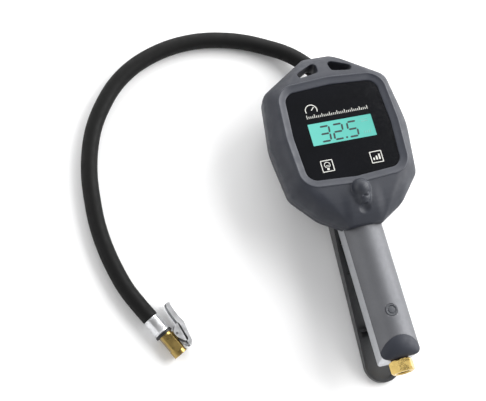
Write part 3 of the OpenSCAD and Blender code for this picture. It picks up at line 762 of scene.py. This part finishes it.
def bullnose(n_across=56, n_along=40):
    """The handle's smooth lower end, from the arched line down to the parting plane."""
    verts = []
    for i in range(n_across + 1):
        x = -17.3 + 34.6 * i / n_across
        corner = max(0.0, abs(x) - 8.4)
        low = -190 - 9 * (1 - (corner / 9.2) ** 3) ** (1 / 3)
        high = -202 + math.sqrt(400 - x * x)
        full = -33.5 + math.sqrt(400 - x * x) + 23.35
        for j in range(n_along + 1):
            y = high + (low - high) * math.sin(0.5 * math.pi * j / n_along)
            u = min(1.0, max(0.0, (-184.5 - y) / (-184.5 - low)))
            verts.append((x, y, -23.3 + full * (1 - u ** 2.3) ** (1 / 2.3)))
    top = len(verts)
    verts += [(x, y, -23.5) for x, y, _ in verts]
    row = n_along + 1
    faces = []
    for i in range(n_across):
        for j in range(n_along):
            k = i * row + j
            faces += [(k, k + 1, k + row + 1, k + row),
                      (top + k, top + k + row, top + k + row + 1, top + k + 1)]
        for j in (0, n_along):
            k = i * row + j
            faces.append((k, k + row, top + k + row, top + k))
    for j in range(n_along):
        for k in (j, n_across * row + j):
            faces.append((k, k + 1, top + k + 1, top + k))
    return bevel(as_object("nose", verts, faces, FACE), 0.25, 2, 50)


nose = bullnose()
wear(nose, "nose", "inflator", "nose_dark", "handle_nose")

UP = Matrix.Rotation(math.radians(90), 4, "X")      # a lathe's axis turned to local z
plug_profile = rounded([(0, -20.5), (5.9, -20.5), (5.9, -16.3), (5.25, -16.3), (5.25, -13.6),
                        (3.9, -13.6), (3.6, -14.2), (2.9, -14.2), (2.6, -13.7), (0, -13.7)], 0.25)
# the two points on the axis stay sharp, so that the mesh closes there
plug = lathe("plug", [(0, -20.5)] + plug_profile[4:-4] + [(0, -13.7)], VALVE @ UP, 72)
wear(plug, "plug", "inflator", "plug_grey", "valve_plug")

lever = cad_copy("lever", "trigger_lever", 0.45, 3)
wear(lever, "lever", "lever", "lever_black", "trigger_lever")


def hex_nut():
    """The inlet's hexagon with turned ends and a threaded mouth."""
    place = FACE @ Matrix.Translation((0, 0, -31))
    y0, y1 = -210.5, -199.6
    cut = [(0, y0), (8.6, y0), (10.6, y0 + 1.5), (10.6, y1 - 1.5), (8.9, y1), (0, y1)]
    body = lathe("inlet", cut, place, 96)
    hexagon = [(10.68 * math.cos(math.radians(60 * k)), 10.68 * math.sin(math.radians(60 * k)))
               for k in range(6)]
    boolean(body, [prism("hex", hexagon, -y1 - 1, -y0 + 1, place @ ALONG)], "INTERSECT")
    thread = [(0, y0 - 1), (7.0, y0 - 1), (6.6, y0 + 0.5)]
    for k in range(7):
        thread += [(5.75, y0 + 0.9 + 1.34 * k), (6.45, y0 + 1.57 + 1.34 * k)]
    thread += [(5.72, y1 - 0.9), (4.4, y1 - 0.6), (4.4, y1 + 1), (0, y1 + 1)]
    boolean(body, [lathe("bore", thread, place, 72)])
    return bevel(body, 0.22, 2, 32)


nut = hex_nut()
stub = lathe("inlet_stub", [(4.4, -199.7), (6.5, -199.7), (6.5, -185.2), (4.4, -185.2)],
             FACE @ Matrix.Translation((0, 0, -31)), 64, True)
wear(join("inlet", [nut, stub]), "brass", "inflator", "brass", "inlet_adaptor")

# ---- outlet ---------------------------------------------------------------------------------------
ferrule = rounded([(7.35, 0), (7.35, -13), (4.2, -13), (4.2, -18), (8.8, -18), (8.9, -15.2),
                   (8.3, -14.4), (8.3, -11.2), (8.7, -10.6), (8.3, -10), (8.3, -6.8), (8.7, -6.2),
                   (8.3, -5.6), (8.3, -2), (8.75, -1)], 0.4)
wear(lathe("ferrule", ferrule, OUTLET, 64, True), "zinc", "inflator", "fitting_zinc", "hose_ferrule")
wear(cad_copy("tail", "hose_tail", 0.25, 2), "zinc", "inflator", "fitting_zinc", "hose_tail")

# ---- connector ------------------------------------------------------------------------------------
NOSEWARD = CHUCK @ Matrix.Rotation(math.radians(-90), 4, "Z")     # a lathe's axis along local x


def crimped_collar():
    """The hose collar, with six flats pressed into it."""
    segments, rows = 96, []
    for h, pressed in ((0.0, 0), (0.35, 0), (1.0, 0), (1.6, 1), (8, 1), (14.2, 1), (14.8, 0), (15.5, 0),
                       (15.8, 0)):
        r0 = {0.0: 7.0, 15.8: 7.0}.get(h, 7.3)
        row = []
        for k in range(segments):
            a = 2 * math.pi * (k + 0.5) / segments
            flat = 7.3 * math.cos(math.pi / 6) / math.cos((a % (math.pi / 3)) - math.pi / 6)
            r = min(r0, 0.4 * r0 + 0.6 * flat) if pressed else r0
            row.append((r * math.cos(a), h, r * math.sin(a)))
        rows.append(row)
    for r, h in ((3.6, 15.8), (3.6, 0.0)):
        rows.append([(r * math.cos(2 * math.pi * (k + 0.5) / segments), h,
                      r * math.sin(2 * math.pi * (k + 0.5) / segments)) for k in range(segments)])
    verts = [v for row in rows for v in row]
    n = len(rows)
    faces = [(i * segments + k, ((i + 1) % n) * segments + k, ((i + 1) % n) * segments + (k + 1) % segments,
              i * segments + (k + 1) % segments) for i in range(n) for k in range(segments)]
    return as_object("collar", verts, faces, NOSEWARD, 20)


collar = crimped_collar()
barb = lathe("barb", [(2.4, -14), (3.5, -14), (3.9, -12.5), (3.9, -11), (3.5, -9.5), (3.9, -8.5), (3.9, -7),
                      (3.5, -5.5), (3.9, -4.5), (3.9, -3), (3.55, -1.5), (3.55, 0.4), (2.4, 0.4)],
             NOSEWARD, 48, True)
tail_piece = wear(join("connector_collar", [collar, barb]), "nickel", "inflator", "nickel",
                  "connector_tail")
ring_piece = wear(lathe("connector_band", rounded([(2.6, 15.9), (7.85, 15.9), (7.85, 18.3), (2.6, 18.3)],
                                                  0.5), NOSEWARD, 64, True),
                  "rubber", "inflator", "seal_rubber", "connector_ring")
body = boolean(cad_copy("connector_brass", "connector_body"), [
    prism("flat", [(20.4, -7), (34.6, -7), (34.6, -1.8), (36.4, -1.8), (36.4, 7), (20.4, 7)], 5.3, 9, CHUCK),
    prism("flat", [(18, -5.4), (33, -5.4), (33, -9), (18, -9)], -9, 9, CHUCK)])
brass_piece = wear(bevel(body, 0.25, 2), "brass_dark", "inflator",
                   "brass", "connector_body")


def thumb_clip():
    """The channel-shaped thumb lever, with two ears on the pin and a catch at the nose."""
    plan = rounded([(-0.5, 20.8), (3.5, 19.6), (8, 19), (14, 18.8), (20, 19.3), (36.8, 14.2), (40, 10.8),
                    (38.3, 9.6), (35.8, 10.3), (27, 12.2), (17, 14.2), (12, 14.6), (6, 15), (2, 15.9),
                    (-1.8, 17.2)], 0.9, 4)
    channel = prism("channel", plan, -5.2, 5.2, CHUCK)
    boolean(channel, [prism("hollow", [(x, y - 1.6) for x, y in plan], -4, 4, CHUCK)])
    parts = [bevel(channel, 0.22, 2, 40)]
    ear = rounded([(17.9, 15.2), (17.4, 11.6), (21.6, 6.2), (27, 6.2), (33.4, 9.3), (34.6, 11.4),
                   (33.6, 12.6)], 0.9, 4)
    thick = 0.8
    for z in (-5.2, 4.4):
        plate = prism("ear", ear, z, z + thick, CHUCK)
        boolean(plate, [prism("pin_hole", arc(24.2, 8.2, 1.06, 0, 345, 23), z - 1, z + thick + 1, CHUCK)])
        parts.append(bevel(plate, 0.2, 2, 40))
    parts.append(prism("catch", rounded([(35.4, 4.5), (37.6, 4.5), (37.8, 11.4), (35.4, 11.8)], 0.5),
                       -2.1, 2.1, CHUCK, 0.2))
    return join("thumb_clip", parts, 35)


clip_piece = wear(thumb_clip(), "nickel", "clip", "nickel", "clip_lever")

# ---- CAD nodes that stay, with a material each -------------------------------------------------------
KEPT = {
    "front_housing": "housing", "rear_housing": "housing", "housing_screws": "steel",
    "backlight": "diffuser", "key_switches": "steel", "circuit_board": "board",
    "pressure_sensor": "zinc", "battery_holder": "housing", "batteries": "cell",
    "battery_cover": "housing", "cover_screws": "steel", "neck_screws": "steel",
    "valve_spring": "steel", "valve_stem": "brass", "valve_seal": "rubber", "stem_seal": "rubber",
    "lever_pin": "steel", "inlet_seal": "fibre", "inlet_filter": "brass",
    "connector_seal": "rubber", "clip_pin": "steel", "clip_spring": "steel",
}
for node, material in KEPT.items():
    data = NODES[node].data
    data.materials.clear()
    data.materials.append(MATERIALS[material])
    sharpen(data, 30)

# ---- stage -----------------------------------------------------------------------------------------


LIGHT_AIM = Vector((-0.08, 0.02, 0.02))


def light(name, at, size, energy):
    """A square area light, turned towards the middle of the object."""
    data = bpy.data.lights.new(name, "AREA")
    data.energy = energy
    data.shape, data.size, data.size_y = "RECTANGLE", size, size
    o = bpy.data.objects.new(name, data)
    o.location = at
    o.rotation_euler = (LIGHT_AIM - Vector(at)).to_track_quat("-Z", "Y").to_euler()
    bpy.context.scene.collection.objects.link(o)


floor_mesh = bpy.data.meshes.new("floor")
floor_mesh.from_pydata([(-6, -6, 0), (6, -6, 0), (6, 6, 0), (-6, 6, 0)], [], [(0, 1, 2, 3)])
floor_shade = Shade("floor_paper", (0.93, 0.93, 0.93), 0.9)
floor_shade.tint(floor_shade.noise(3, 2), (0.90, 0.90, 0.905), 0, 0.5)
floor_mesh.materials.append(floor_shade.mat)
floor = bpy.data.objects.new("floor", floor_mesh)
bpy.context.scene.collection.objects.link(floor)

world = bpy.data.worlds.new("studio")
world.use_nodes = True
sky = world.node_tree
split = sky.nodes.new("ShaderNodeSeparateXYZ")
fall = sky.nodes.new("ShaderNodeMapRange")
for key, value in (("From Min", 0.35), ("From Max", 0.85), ("To Min", 1.0), ("To Max", 0.3)):
    fall.inputs[key].default_value = value
sky.links.new(sky.nodes.new("ShaderNodeTexCoord").outputs["Generated"], split.inputs["Vector"])
sky.links.new(split.outputs["Z"], fall.inputs["Value"])
sky.links.new(fall.outputs["Result"], sky.nodes["Background"].inputs["Strength"])
sky.nodes["Background"].inputs["Color"].default_value = (1, 1, 1, 1)
bpy.context.scene.world = world
light("key", (1.3, 0.3, 0.85), 1.7, 54)
light("fill", (-1.3, 0.6, 0.9), 1.2, 7)
light("rear", (0.2, 1.6, 0.8), 1.4, 20)
bpy.context.scene.view_settings.view_transform = "Standard"
